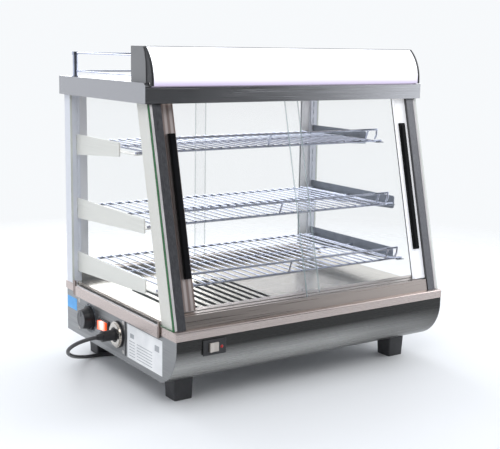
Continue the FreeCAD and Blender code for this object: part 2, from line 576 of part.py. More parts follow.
def sign_box():
    """The lit box over the front edge of the roof."""
    def shell(outer, inner):
        foot, start, middle, end = sign_outline(outer)
        i_foot, i_start, i_middle, i_end = sign_outline(inner)
        edges = [line(foot, start), arc(start, middle, end), line(end, i_end)]
        return edges + [arc(i_end, i_middle, i_start), line(i_start, i_foot), line(i_foot, foot)]

    lit = SIGN_HALF - SIGN_CAP_W - 0.2
    save("sign_diffuser", edges_prism_x(shell(0.0, 2.5), -lit, lit))
    cap = edges_prism_x(shell(-0.4, 6.0), SIGN_HALF - SIGN_CAP_W, SIGN_HALF)
    foot, start, middle, end = sign_outline(6.0)
    low = CAP_TOP + 0.2
    web = [line((foot[0], SIGN_BOTTOM), (foot[0], SIGN_R_Z)), arc(start, middle, end)]
    web += [line(end, (118.0, low)), line((118.0, low), (118.0, SIGN_BOTTOM))]
    web += [line((118.0, SIGN_BOTTOM), foot)]
    notch = box(0, CAP_FRONT - 0.3, 500, 400, 200, CAP_TOP + 0.2)
    cap = cap.fuse(edges_prism_x(web, SIGN_HALF - 3, SIGN_HALF)).cut(notch).removeSplitter()
    save("sign_end_caps", cap, mirrored(cap))

    plate = [(118.4, low), (SIGN_REAR, low), (SIGN_REAR, SIGN_TOP + 1.2), (130.0, SIGN_TOP + 1.2)]
    plate += [(124.0, 674.0), (119.4, 655.0)]
    ends = prism_x(plate, SIGN_HALF + 0.1, SIGN_HALF + 1.3)
    save("sign_end_plates", ends, mirrored(ends))
    back = box(-SIGN_HALF, SIGN_REAR - SHEET, low, SIGN_HALF, SIGN_REAR, SIGN_TOP + SHEET)
    top = box(-SIGN_HALF, 136.0, SIGN_TOP, SIGN_HALF, SIGN_REAR, SIGN_TOP + SHEET)
    save("sign_housing", back.fuse(top).removeSplitter())
    save("lamps", *lamp(300.0, 210.0, 588.5, 7.0), *lamp(316.0, 145.0, 650.0, 8.0))


def gallery():
    """The low rail around the back and sides of the roof: two posts and two rows of rods."""
    made = []
    x, y, floor = GALLERY_X, GALLERY_Y, CAP_TOP
    for side in (-1, 1):
        post = rod((side * x, y, floor), (side * x, y, GALLERY_TOP + 2), 5.5)
        post = post.fuse(rod((side * x, y, GALLERY_TOP - 4), (side * x, y, GALLERY_TOP + 3), 6.8))
        post = post.fuse(rod((side * x, y, floor), (side * x, y, floor + 2), 9.0))
        made.append(post.removeSplitter())
        for z in (629.0, GALLERY_TOP):
            made.append(rod((side * x, SIGN_REAR + 0.2, z), (side * x, y - 7.2, z), 1.7))
    for z in (629.0, GALLERY_TOP):
        made.append(rod((-x + 7.2, y, z), (x - 7.2, y, z), 1.7))
    save("gallery_rail", *made)


# ---- mains cord ---------------------------------------------------------------------------
CORD_POINTS = [
    (-370, 237.5, 101.5), (-400, 237.5, 101.5), (-423, 251, 92), (-433, 272, 76), (-425, 297, 59),
    (-406, 325, 43), (-383, 357, 28), (-356, 387, 14), (-326, 407, 4.5), (-291, 410, 4),
    (-262, 394, 4), (-231, 377, 4), (-197, 370, 4), (-166, 386, 4), (-146, 416, 4),
    (-139, 453, 4), (-142, 491, 4), (-147, 526, 4), (-148, 550, 4),
]


def rounded_path(points):
    """Straight runs joined by tangent arcs, each as large as its two runs allow."""
    pts = [Vector(*p) for p in points]
    edges, radii, at = [], [], pts[0]
    for before, corner, after in zip(pts, pts[1:], pts[2:]):
        into, out = (corner - before), (after - corner)
        reach = 0.45 * min(into.Length, out.Length)
        turn = into.getAngle(out)
        radius = reach / tan(turn / 2)
        into.normalize()
        out.normalize()
        start, end = corner - into * reach, corner + out * reach
        inward = out - into
        inward.normalize()
        middle = corner + inward * (radius / cos(turn / 2) - radius)
        edges += [Part.LineSegment(at, start).toShape(), Part.Arc(start, middle, end).toShape()]
        radii.append(round(radius, 1))
        at = end
    edges.append(Part.LineSegment(at, pts[-1]).toShape())
    return Part.Wire(edges), radii


def cord():
    """The cord from its boot to the coil, the coil behind the base, and the plug."""
    face = PLATE_FACE + 8.0
    flange = rod((-PLATE_FACE - 0.05, GLAND_Y, GLAND_Z), (-face + 3.0, GLAND_Y, GLAND_Z), GLAND_R)
    ring = rod((-PLATE_FACE - 0.05, GLAND_Y, GLAND_Z), (-face, GLAND_Y, GLAND_Z), GLAND_R - 3.5)
    thread = rod((-330, GLAND_Y, GLAND_Z), (-PLATE_FACE - 0.1, GLAND_Y, GLAND_Z), 15.0)
    seat = rod((-320, GLAND_Y, GLAND_Z), (-360, GLAND_Y, GLAND_Z), 12.2)
    save("cord_gland", flange.fuse([ring, thread]).cut(seat).removeSplitter())

    neck = rod((-330, GLAND_Y, GLAND_Z), (-face, GLAND_Y, GLAND_Z), 12.0)
    barrel = rod((-face, GLAND_Y, GLAND_Z), (-BOOT_SHOULDER, GLAND_Y, GLAND_Z), BOOT_R)
    cone = Part.makeCone(7.6, 5.4, BOOT_TIP - BOOT_SHOULDER, Vector(-BOOT_SHOULDER, GLAND_Y, GLAND_Z),
                         Vector(-1, 0, 0))
    bore = rod((CORD_POINTS[0][0], GLAND_Y, GLAND_Z), (-BOOT_TIP - 1, GLAND_Y, GLAND_Z), CORD_D / 2 + 0.1)
    save("strain_relief", neck.fuse([barrel, cone]).cut(bore).removeSplitter())

    path, radii = rounded_path(CORD_POINTS)
    start = Vector(*CORD_POINTS[0])
    along = Vector(*CORD_POINTS[1]) - start
    section = Part.Wire(Part.makeCircle(CORD_D / 2, start, along))
    tube = path.makePipeShell([section], True, False, 2)
    ideal = pi * (CORD_D / 2) ** 2 * path.Length
    print("cord radii", radii)
    print("cord tube length %.0f mm, volume / ideal %.4f" % (path.Length, tube.Volume / ideal))
    save("cord_tube", tube)

    inner, outer, height = COIL_R - CORD_D - 0.5, COIL_R + CORD_D + 0.5, 2 * CORD_D + 0.5
    ring = Part.makeCylinder(outer, height, Vector(COIL_X, COIL_Y, 0))
    ring = ring.cut(Part.makeCylinder(inner, height + 2, Vector(COIL_X, COIL_Y, -1)))
    save("cord_coil", ring.makeFillet(3.5, [e for e in ring.Edges if isinstance(e.Curve, Part.Circle)]))

    y, z, x = COIL_Y + COIL_R + CORD_D / 2, 12.4, COIL_X + 8
    relief = Part.makeCone(5.2, 8.0, 40.0, Vector(x, y, z), Vector(1, 0, 0))
    body = box(x + 40, y - 14, z - 12.2, x + 78, y + 14, z + 12.2)
    rounded = [e for e in body.Edges if e.BoundBox.XLength > 30 or e.BoundBox.XMax < x + 41]
    body = body.makeFillet(5.0, rounded)
    plug = relief.fuse(body)
    for side in (-6.3, 6.3):
        plug = plug.fuse(box(x + 77, y + side - 0.8, z - 1.2, x + 95, y + side + 0.8, z + 5.2))
    plug = plug.fuse(rod((x + 77, y, z - 6.0), (x + 97, y, z - 6.0), 2.4))
    save("plug", plug.removeSplitter())


def main():
    os.makedirs(OUT, exist_ok=True)
    base()
    feet()
    sills()
    deck()
    heating()
    controls()
    switch_on_side()
    switch_on_front()
    posts()
    side_glass()
    tracks()
    for name, (side, w, edge, reach) in FRONT_DOORS.items():
        front_door(name, side, w, edge, reach)
    for name, (side, y) in REAR_DOORS.items():
        rear_door(name, side, y)
    for name, (z, front, tip) in SHELVES.items():
        shelf(name, z, front)
        brackets(name, z, front, tip)
    roof()
    sign_box()
    gallery()
    cord()


main()
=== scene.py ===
"""Looks of the heated food cabinet: materials, labels, seams, screws, the dial and the mains cord.

Metres, in the CAD model's frame. +X is the customer's right, +Y the rear, +Z up.
"""

import math

import bmesh
import bpy
from mathutils import Matrix, Vector


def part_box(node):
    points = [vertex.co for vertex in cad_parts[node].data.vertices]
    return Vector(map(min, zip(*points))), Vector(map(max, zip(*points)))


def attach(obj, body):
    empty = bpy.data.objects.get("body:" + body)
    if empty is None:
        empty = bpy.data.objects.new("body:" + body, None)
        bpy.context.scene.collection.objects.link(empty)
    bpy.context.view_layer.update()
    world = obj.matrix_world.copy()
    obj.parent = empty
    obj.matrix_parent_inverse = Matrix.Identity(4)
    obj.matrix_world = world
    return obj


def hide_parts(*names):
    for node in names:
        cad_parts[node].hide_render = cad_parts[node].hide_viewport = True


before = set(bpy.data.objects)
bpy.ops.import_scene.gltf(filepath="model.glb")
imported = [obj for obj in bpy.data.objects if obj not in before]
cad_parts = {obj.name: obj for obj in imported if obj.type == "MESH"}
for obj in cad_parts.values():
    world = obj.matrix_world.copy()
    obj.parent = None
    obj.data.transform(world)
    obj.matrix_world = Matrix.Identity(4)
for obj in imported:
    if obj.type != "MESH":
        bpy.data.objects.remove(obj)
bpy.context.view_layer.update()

MM = 0.001
ROOT = "cabinet"


# ---- places worked out from the frame ------------------------------------------------------
def low(node):
    return Vector(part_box(node)[0])


def high(node):
    return Vector(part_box(node)[1])


MIDDLE_X = (low("roof_cap").x + high("roof_cap").x) / 2
FRONT_Y = low("sill_front").y


def at(x, y, z):
    """A point given in mm from the cabinet's middle plane, the front of its sill and the counter."""
    return Vector((MIDDLE_X + x * MM, FRONT_Y + y * MM, z * MM))


SLANT = math.atan(0.239)  # lean of the front, from the vertical
SLANT_Y, SLANT_Z = 11.0, 162.0  # where the front plane of the posts meets the sill


def on_slant(x, w, v):
    """A point w mm behind the slanted front and v mm up along it."""
    y = SLANT_Y + w * math.cos(SLANT) + v * math.sin(SLANT)
    return at(x, y, SLANT_Z - w * math.sin(SLANT) + v * math.cos(SLANT))


# Middles of what stands on the left side of the base, as (y, z) in mm.
KNOB, ROCKER, GLAND = (370.0, 104.0), (300.0, 104.0), (237.5, 101.5)
SIDE_FACE, PLATE_FACE = -338.0, -339.8  # x of the side sheet and of the control plate on it
SIGN_BOTTOM = 612.0


# ---- camera --------------------------------------------------------------------------------
CAMERA_PLACE = (-1227.8, -1552.1, 693.0)  # mm, as for at()
CAMERA_TURN = (0.595, 0.179, 0.017)  # yaw, pitch and roll
SENSOR, LENS = 36.0, 72.06


def camera():
    """Stands to the front left, a little above the cabinet."""
    yaw, pitch, roll = CAMERA_TURN
    turn = Matrix.Rotation(roll, 3, "Y") @ Matrix.Rotation(pitch, 3, "X") @ Matrix.Rotation(yaw, 3, "Z")
    data = bpy.data.cameras.new("camera")
    data.sensor_width = SENSOR
    data.lens = LENS
    data.clip_end = 50.0
    obj = bpy.data.objects.new("camera", data)
    bpy.context.collection.objects.link(obj)
    axes = Matrix((turn[0], turn[2], -turn[1])).transposed()
    obj.matrix_world = Matrix.Translation(at(*CAMERA_PLACE)) @ axes.to_4x4()
    bpy.context.scene.camera = obj


camera()


# ---- materials -----------------------------------------------------------------------------
COLOR_A, COLOR_B, COLOR_OUT = 6, 7, 2  # the colour sockets of a Mix node
ALONG_X, ALONG_Y, ALONG_Z = (0.012, 1.0, 1.0), (1.0, 0.012, 1.0), (1.0, 1.0, 0.012)  # grain
ACROSS, FRONT, DOWN = (1.0, 0.0, 0.0), (0.0, -1.0, 0.0), (0.0, 0.0, -1.0)
LEANED = (0.0, math.cos(SLANT), -math.sin(SLANT))  # through the front doors


class Shader:
    """A Principled material and short ways to feed it with noise in object coordinates."""

    def __init__(self, name, color, rough, metal=0.0, **constants):
        self.mat = bpy.data.materials.new(name)
        self.mat.use_nodes = True
        self.nodes = self.mat.node_tree.nodes
        self.links = self.mat.node_tree.links
        self.shader = self.nodes["Principled BSDF"]
        self.shader.inputs["Base Color"].default_value = (*color, 1.0)
        self.shader.inputs["Roughness"].default_value = rough
        self.shader.inputs["Metallic"].default_value = metal
        for key, value in constants.items():
            self.shader.inputs[key.replace("_", " ")].default_value = value

    def noise(self, scale, stretch=(1.0, 1.0, 1.0), detail=4.0, roughness=0.55):
        place = self.nodes.new("ShaderNodeTexCoord")
        mapping = self.nodes.new("ShaderNodeMapping")
        mapping.inputs["Scale"].default_value = stretch
        texture = self.nodes.new("ShaderNodeTexNoise")
        texture.inputs["Scale"].default_value = scale
        texture.inputs["Detail"].default_value = detail
        texture.inputs["Roughness"].default_value = roughness
        self.links.new(place.outputs["Object"], mapping.inputs["Vector"])
        self.links.new(mapping.outputs["Vector"], texture.inputs["Vector"])
        return texture.outputs["Fac"]

    def spread(self, factor, first, last, low_end=0.3, high_end=0.7):
        """Maps a factor to a range of values."""
        node = self.nodes.new("ShaderNodeMapRange")
        node.inputs["From Min"].default_value = low_end
        node.inputs["From Max"].default_value = high_end
        node.inputs["To Min"].default_value = first
        node.inputs["To Max"].default_value = last
        self.links.new(factor, node.inputs["Value"])
        return node.outputs["Result"]

    def blend(self, factor, first, last):
        """Mixes two colours, each a tuple or a socket, by a factor."""
        node = self.nodes.new("ShaderNodeMix")
        node.data_type = "RGBA"
        self.links.new(factor, node.inputs["Factor"])
        for index, value in ((COLOR_A, first), (COLOR_B, last)):
            if isinstance(value, tuple):
                node.inputs[index].default_value = (*value, 1.0)
            else:
                self.links.new(value, node.inputs[index])
        return node.outputs[COLOR_OUT]

    def math(self, operation, *values):
        """One arithmetic step on one or two sockets."""
        node = self.nodes.new("ShaderNodeMath")
        node.operation = operation
        for value, target in zip(values, node.inputs):
            self.links.new(value, target)
        return node.outputs["Value"]

    def along(self, axis):
        """How far the surface faces along an axis, from -1 to 1."""
        normal = self.nodes.new("ShaderNodeNewGeometry")
        dot = self.nodes.new("ShaderNodeVectorMath")
        dot.operation = "DOT_PRODUCT"
        dot.inputs[1].default_value = axis
        self.links.new(normal.outputs["Normal"], dot.inputs[0])
        return dot.outputs["Value"]

    def facing(self, axis, first, last, start=0.35, end=0.65):
        """A value that runs from first to last as the surface turns to face along an axis."""
        return self.spread(self.along(axis), first, last, start, end)

    def either_way(self, axis, first, last, start=0.35, end=0.65):
        """The same for a surface that faces along the axis or against it."""
        return self.spread(self.math("ABSOLUTE", self.along(axis)), first, last, start, end)

    def place(self, axis, first, last, start, end):
        """A value that runs from first to last between two places along X, Y or Z, in metres."""
        coords = self.nodes.new("ShaderNodeTexCoord")
        split = self.nodes.new("ShaderNodeSeparateXYZ")
        self.links.new(coords.outputs["Object"], split.inputs["Vector"])
        return self.spread(split.outputs[axis], first, last, start, end)

    def ribs(self, axis, pitch):
        """Even ribs along a profile, one each pitch in metres."""
        coords = self.nodes.new("ShaderNodeTexCoord")
        wave = self.nodes.new("ShaderNodeTexWave")
        wave.bands_direction = axis
        wave.inputs["Scale"].default_value = 0.314159 / pitch
        self.links.new(coords.outputs["Object"], wave.inputs["Vector"])
        return wave.outputs["Fac"]

    def feed(self, name, socket):
        self.links.new(socket, self.shader.inputs[name])
        return self

    def bump(self, factor, strength, distance):
        node = self.nodes.new("ShaderNodeBump")
        node.inputs["Strength"].default_value = strength
        node.inputs["Distance"].default_value = distance
        self.links.new(factor, node.inputs["Height"])
        self.links.new(node.outputs["Normal"], self.shader.inputs["Normal"])
        return self


def brushed(name, dark, light, rough, grain, painted_shade=None, painted_shade_tone=0.4):
    """Brushed stainless: long streaks along one axis, faint smudges and uneven roughness.

    The optional shading mask takes the shader and gives a factor, 1 where the sheet is painted darker by the
    given tone, as painted shade or a painted dark reflection.
    """
    s = Shader(name, light, rough, metal=1.0)
    streaks = s.noise(700.0, grain, detail=3.0)
    smudge = s.noise(5.0, detail=5.0)
    tone = s.blend(s.spread(streaks, 0.0, 1.0), dark, light)
    tone = s.blend(s.spread(smudge, 0.0, 0.35), tone, tuple(c * 0.86 for c in light))
    if painted_shade:
        # painted shade: the masked part of the sheet is darkened
        tone = s.blend(painted_shade(s), tone, tuple(c * painted_shade_tone for c in light))
    s.feed("Base Color", tone)
    s.feed("Roughness", s.spread(s.noise(480.0, grain, detail=2.0), rough - 0.05, rough + 0.09))
    s.bump(streaks, 0.02, 0.00006)
    return s.mat


def plastic(name, color, rough, grain=900.0, depth=0.12, **constants):
    """Moulded plastic with a fine texture and a slight change of tone."""
    s = Shader(name, color, rough, **constants)
    lighter = tuple(min(1.0, c * 1.35 + 0.004) for c in color)
    s.feed("Base Color", s.blend(s.spread(s.noise(18.0), 0.0, 1.0), color, lighter))
    s.feed("Roughness", s.spread(s.noise(120.0), rough - 0.06, rough + 0.08))
    s.bump(s.noise(grain, detail=2.0), depth, 0.0003)
    return s.mat


def chrome(name, color, rough):
    s = Shader(name, color, rough, metal=1.0)
    dull = tuple(c * 0.82 for c in color)
    s.feed("Base Color", s.blend(s.spread(s.noise(60.0), 0.0, 1.0, 0.4, 0.7), color, dull))
    s.feed("Roughness", s.spread(s.noise(200.0), rough, rough + 0.10))
    return s.mat


def glass(name, tint, edge_tint, across, clear=0.035):
    """A clear pane: nearly all of it see-through, with cut edges that show the glass's colour.

    across is the direction through the pane.
    """
    s = Shader(name, tint, 0.03, Specular_IOR_Level=0.5, IOR=1.5)
    s.feed("Base Color", s.blend(s.either_way(across, 1.0, 0.0), tint, edge_tint))
    s.feed("Alpha", s.either_way(across, 0.55, clear))
    s.feed("Roughness", s.spread(s.noise(4.0, (1.0, 1.0, 0.3), detail=6.0), 0.02, 0.07))
    return s.mat


def side_glass():
    """The fixed panes: the left one's long front edge is deep green, the other edges are pale."""
    s = Shader("side_pane", (0.86, 0.93, 0.92), 0.03, Specular_IOR_Level=0.5, IOR=1.5)
    front = s.place("Y", 1.0, 0.0, at(0, 128, 0).y, at(0, 140, 0).y)
    left = s.blend(s.place("X", 1.0, 0.0, -0.01, 0.01), (0.76, 0.79, 0.74), (0.025, 0.15, 0.05))
    cut = s.blend(front, (0.76, 0.79, 0.74), left)
    s.feed("Base Color", s.blend(s.either_way(ACROSS, 1.0, 0.0), (0.86, 0.93, 0.92), cut))
    s.feed("Alpha", s.either_way(ACROSS, 0.9, 0.05))
    s.feed("Roughness", s.spread(s.noise(4.0, (1.0, 1.0, 0.3), detail=6.0), 0.02, 0.07))
    return s.mat


def post_steel():
    """The front posts: satin steel in front, cream outside, and painted shade making the side by the doors
    near black.
    """
    s = Shader("front_post_steel", (0.5, 0.5, 0.5), 0.34)
    streaks = s.noise(700.0, ALONG_Z, detail=3.0)
    steel = s.blend(s.spread(streaks, 0.0, 1.0), (0.13, 0.13, 0.14), (0.19, 0.19, 0.20))
    cream = s.blend(s.spread(s.noise(9.0), 0.0, 1.0), (0.74, 0.71, 0.65), (0.80, 0.78, 0.73))
    to_left, to_right = s.facing((-1.0, 0.0, 0.0), 0.0, 1.0), s.facing(ACROSS, 0.0, 1.0)
    outside = s.blend(s.place("X", 0.0, 1.0, 0.0, 0.01), to_left, to_right)
    # painted shade: near black on the side by the doors
    side = s.blend(outside, (0.05, 0.05, 0.055), cream)
    s.feed("Base Color", s.blend(s.either_way(ACROSS, 0.0, 1.0), steel, side))
    s.feed("Metallic", s.either_way(ACROSS, 1.0, 0.0))
    s.feed("Roughness", s.spread(s.noise(500.0, ALONG_Z, detail=2.0), 0.28, 0.42))
    s.bump(s.noise(1400.0, ALONG_Z, detail=2.0), 0.05, 0.0002)
    return s.mat


def ribbed(name, dark, light, rough, pitch):
    """An extruded aluminium stile whose fine ribs along its length are painted as light and dark bands:
    painted highlight and shade, with no bump.
    """
    s = Shader(name, light, rough, metal=1.0)
    # painted highlight and shade standing in for the ribs
    painted_rib_bands = s.ribs("X", pitch)
    streaks = s.noise(500.0, ALONG_Z, detail=2.0)
    tone = s.blend(s.spread(painted_rib_bands, 0.0, 1.0, 0.25, 0.75), dark, light)
    s.feed("Base Color", s.blend(s.spread(streaks, 0.0, 0.12), tone, tuple(c * 0.8 for c in light)))
    s.feed("Roughness", s.spread(streaks, rough, rough + 0.05))
    return s.mat


def bracket_steel():
    """Steel brackets: a painted warm reflection makes the left ones cream, and painted shade with a dark
    reflection makes the right ones dark blue.
    """
    s = Shader("bracket_steel", (0.8, 0.78, 0.72), 0.38, metal=0.25)
    streaks, clouds = s.noise(300.0, ALONG_Y, detail=3.0), s.noise(40.0, detail=3.0)
    # painted warm reflection on the left brackets
    left = s.blend(s.spread(streaks, 0.0, 1.0), (0.76, 0.745, 0.69), (0.84, 0.825, 0.77))
    # painted shade and dark reflection on the right brackets
    right = s.blend(s.spread(clouds, 0.0, 1.0), (0.15, 0.17, 0.22), (0.23, 0.26, 0.32))
    s.feed("Base Color", s.blend(s.place("X", 0.0, 1.0, 0.0, 0.01), left, right))
    s.feed("Roughness", s.spread(s.noise(500.0, ALONG_Y, detail=2.0), 0.30, 0.45))
    s.bump(s.noise(900.0, detail=2.0), 0.05, 0.0002)
    return s.mat


def two_sided(name, face, side, rough):
    """A painted post: one colour on what faces front and rear, another on its two sides."""
    s = Shader(name, face, rough, Coat_Weight=0.1)
    tone = s.blend(s.either_way(ACROSS, 0.0, 1.0), face, side)
    s.feed("Base Color", s.blend(s.spread(s.noise(9.0), 0.0, 0.12), tone, (0.3, 0.3, 0.3)))
    s.feed("Roughness", s.spread(s.noise(500.0, ALONG_Z, detail=2.0), rough - 0.05, rough + 0.08))
    s.bump(s.noise(1400.0, detail=2.0), 0.06, 0.0002)
    return s.mat


def painted(name, color, rough):
    s = Shader(name, color, rough, Coat_Weight=0.15)
    darker = tuple(c * 0.9 for c in color)
    s.feed("Base Color", s.blend(s.spread(s.noise(9.0), 0.0, 1.0), color, darker))
    s.bump(s.noise(1400.0, detail=2.0), 0.06, 0.0002)
    return s.mat


def glowing(name, color, strength, rough=0.35):
    s = Shader(name, color, rough, Emission_Strength=strength)
    cooler = tuple(c * f for c, f in zip(color, (0.95, 0.96, 1.0)))
    tone = s.blend(s.spread(s.noise(3.0), 0.0, 1.0), color, cooler)
    s.feed("Base Color", tone)
    s.feed("Emission Color", tone)
    return s.mat


def lit_rocker():
    """A translucent red rocker with its lamp showing white in the middle."""
    y, z = at(0, *ROCKER).y, at(0, *ROCKER).z
    s = Shader("lit_rocker", (0.9, 0.10, 0.03), 0.25, Emission_Strength=1.0, Coat_Weight=0.4)
    near_y = s.place("Y", 0.0, 1.0, y - 0.014, y - 0.001)
    far_y = s.place("Y", 1.0, 0.0, y + 0.003, y + 0.013)
    upper = s.place("Z", 0.55, 1.0, z - 0.010, z + 0.002)
    hot = s.math("MULTIPLY", s.math("MULTIPLY", near_y, far_y), upper)
    tone = s.blend(hot, (0.95, 0.10, 0.02), (0.98, 0.74, 0.66))
    s.feed("Base Color", tone)
    s.feed("Emission Color", tone)
    s.feed("Roughness", s.spread(s.noise(200.0), 0.18, 0.32))
    return s.mat


def sign_face():
    """The opal sign panel, lit from inside: white, with painted violet-grey shade along its bottom edge."""
    edge = at(0, 0, SIGN_BOTTOM).z
    s = Shader("sign_opal", (1.0, 1.0, 1.0), 0.35, Emission_Strength=0.85)
    white = s.blend(s.spread(s.noise(3.0), 0.0, 1.0), (0.98, 0.99, 1.0), (0.94, 0.95, 1.0))
    # painted shade along the bottom edge
    tone = s.blend(s.place("Z", 0.0, 1.0, edge, edge + 0.024), (0.40, 0.35, 0.48), white)
    s.feed("Base Color", tone)
    s.feed("Emission Color", tone)
    return s.mat


def painted_reflection_front(s):
    """Mask of painted dark reflection on the front panel: 1 on its upright part, 0 where it curls under, and
    more of it to the right.
    """
    upright = s.facing(DOWN, 1.0, 0.0, 0.08, 0.46)
    return s.blend(s.place("X", 0.0, 0.75, 0.08, 0.33), upright, (1.0, 1.0, 1.0))


# Mask of painted shade on the faces that look to the front, used on the sill and the tracks.
def painted_shade_front_faces(s):
    return s.facing(FRONT, 0.0, 1.0, 0.55, 0.85)


# Mask of painted shade on the left part of the deck.
def painted_shade_deck_left(s):
    return s.place("X", 1.0, 0.0, -0.26, -0.10)


# Mask of painted shade on the roof cap's end faces.
def painted_shade_roof_ends(s):
    return s.either_way(ACROSS, 0.0, 1.0)


MATS = {
    "plate": brushed("brushed_plate", (0.20, 0.203, 0.206), (0.31, 0.314, 0.318), 0.34, ALONG_Y),
    "side": brushed("brushed_side", (0.24, 0.245, 0.25), (0.37, 0.375, 0.38), 0.34, ALONG_Y),
    # painted dark reflection on the front panel's upright part, stronger to the right
    "front": brushed("brushed_front", (0.39, 0.39, 0.385), (0.50, 0.50, 0.49), 0.27, ALONG_X,
                     painted_reflection_front, 0.09),
    "panel": brushed("brushed_panel", (0.40, 0.40, 0.41), (0.60, 0.60, 0.61), 0.30, ALONG_X),
    # painted shade on the sill's front faces
    "sill": brushed("brushed_sill", (0.50, 0.42, 0.39), (0.61, 0.53, 0.50), 0.26, ALONG_X,
                    painted_shade_front_faces, 0.8),
    # painted shade on the roof cap's ends
    "roof": brushed("brushed_roof", (0.42, 0.42, 0.43), (0.50, 0.50, 0.515), 0.20, ALONG_X,
                    painted_shade_roof_ends, 0.75),
    # painted shade on the left part of the deck
    "deck": brushed("polished_deck", (0.60, 0.55, 0.47), (0.72, 0.67, 0.59), 0.18, ALONG_Y,
                    painted_shade_deck_left, 0.72),
    "post": post_steel(),
    "standard": two_sided("rear_post_paint", (0.76, 0.79, 0.88), (0.80, 0.82, 0.88), 0.38),
    # painted shade on the tracks' front faces
    "track": brushed("track_aluminium", (0.49, 0.42, 0.38), (0.57, 0.50, 0.46), 0.30, ALONG_X,
                     painted_shade_front_faces, 0.75),
    "stile_left": ribbed("stile_rose", (0.40, 0.31, 0.28), (0.78, 0.69, 0.66), 0.34, 0.012),
    # painted glow: the right door's stile shines white though it holds no lamp, standing in for bright light
    # on it
    "stile_right": glowing("stile_painted_glow", (0.96, 0.96, 0.97), 0.35, 0.4),
    "rear_stile": painted("rear_stile_white", (0.88, 0.89, 0.92), 0.4),
    "wire": chrome("wire_chrome", (0.50, 0.53, 0.64), 0.10),
    "bracket": bracket_steel(),
    "black": plastic("black_plastic", (0.014, 0.014, 0.016), 0.42),
    "foot": plastic("foot_plastic", (0.030, 0.030, 0.033), 0.55, depth=0.3),
    "knob": plastic("knob_plastic", (0.012, 0.012, 0.014), 0.34),
    "knob_cap": brushed("knob_cap", (0.09, 0.09, 0.095), (0.18, 0.18, 0.185), 0.30, ALONG_Z),
    "handle": plastic("handle_plastic", (0.004, 0.004, 0.005), 0.48, 600.0, 0.1,
                      Specular_IOR_Level=0.06),
    # partly a real joint colour, partly painted shadow in the seams at the channel ends
    "seam_shadow": brushed("seam_shadow_steel", (0.22, 0.18, 0.16), (0.34, 0.28, 0.26), 0.36, ALONG_Z),
    "gland": brushed("gland_metal", (0.50, 0.47, 0.43), (0.74, 0.70, 0.65), 0.22, ALONG_Y),
    "screw": chrome("screw_zinc", (0.60, 0.58, 0.56), 0.28),
    "lit_rocker": lit_rocker(),
    "beige": plastic("beige_rocker", (0.40, 0.37, 0.34), 0.3),
    "side_pane": side_glass(),
    "front_pane": glass("front_pane", (0.88, 0.94, 0.94), (0.44, 0.56, 0.58), LEANED),
    "rear_pane": glass("rear_pane", (0.88, 0.94, 0.94), (0.40, 0.50, 0.48), FRONT),
    "seal": plastic("glass_seal", (0.52, 0.50, 0.50), 0.4, depth=0.05),
    "lamp": glowing("lamp_tube", (1.0, 0.96, 0.90), 1.9),
    "sign": sign_face(),
    "sign_grey": painted("sign_grey", (0.20, 0.20, 0.205), 0.42),
    "cord": plastic("cord_rubber", (0.045, 0.045, 0.048), 0.36, 1500.0, 0.2),
    "inner": brushed("inner_steel", (0.16, 0.155, 0.15), (0.26, 0.25, 0.24), 0.5, ALONG_X),
    "label": plastic("label_white", (0.78, 0.79, 0.80), 0.35, depth=0.03),
    "label_grey": plastic("label_grey", (0.36, 0.37, 0.39), 0.4, depth=0.03),
    "label_blue": plastic("label_blue", (0.07, 0.36, 0.80), 0.35, depth=0.03),
    "dial": plastic("dial_plate", (0.060, 0.070, 0.085), 0.4, depth=0.05),
    "tick": plastic("dial_ticks", (0.62, 0.62, 0.64), 0.4, depth=0.02),
    "red": glowing("pilot_red", (0.34, 0.012, 0.012), 0.15),
}

NODE_MATS = {
    "base_side_left": "side", "base_side_right": "side", "base_front_panel": "front",
    "base_rear_panel": "panel", "base_bottom_plate": "panel", "feet": "foot",
    "sill_front": "sill", "sill_rear": "sill", "glass_channels": "sill", "deck_plate": "deck",
    "heating_element": "inner", "thermostat": "inner", "terminal_block": "black",
    "control_plate": "plate", "control_screws": "screw", "thermostat_knob": "knob",
    "side_switch_housing": "black", "side_switch_rocker": "lit_rocker",
    "front_switch_housing": "black", "front_switch_rocker": "beige", "cord_gland": "gland",
    "strain_relief": "black", "plug": "black", "front_post_left": "post",
    "front_post_right": "post", "rear_post_left": "standard", "rear_post_right": "standard",
    "roof_cap": "roof", "roof_frame": "inner", "ceiling_panel": "sill", "lamps": "lamp",
    "sign_diffuser": "sign", "sign_end_caps": "black", "sign_end_plates": "sign_grey",
    "sign_housing": "sign_grey", "gallery_rail": "wire",
}
BEGINNINGS = {"side_glass": "side_pane", "shelf_": "wire", "brackets_": "bracket"}
FRONT_DOOR = {"_glass": "front_pane", "left_stile": "stile_left", "right_stile": "stile_right",
              "_handle": "handle"}
REAR_DOOR = {"_glass": "rear_pane", "_stile": "rear_stile"}


def finish_of(node):
    """Which material a CAD node takes."""
    if node in NODE_MATS:
        return NODE_MATS[node]
    if "track" in node:
        return "track"
    for start, key in BEGINNINGS.items():
        if node.startswith(start):
            return key
    endings = FRONT_DOOR if node.startswith("front_door") else REAR_DOOR
    for end, key in endings.items():
        if node.endswith(end):
            return key
    return None


def dress_cad():
    for name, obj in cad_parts.items():
        key = finish_of(name)
        if key is None:
            continue
        for slot in obj.material_slots:
            slot.link = "OBJECT"
            slot.material = MATS[key]


dress_cad()


# ---- building pieces -----------------------------------------------------------------------
def piece(name, mesh, material, body=ROOT):
    obj = bpy.data.objects.new(name, mesh)
    bpy.context.collection.objects.link(obj)
    mesh.materials.append(MATS[material])
    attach(obj, body)
    return obj


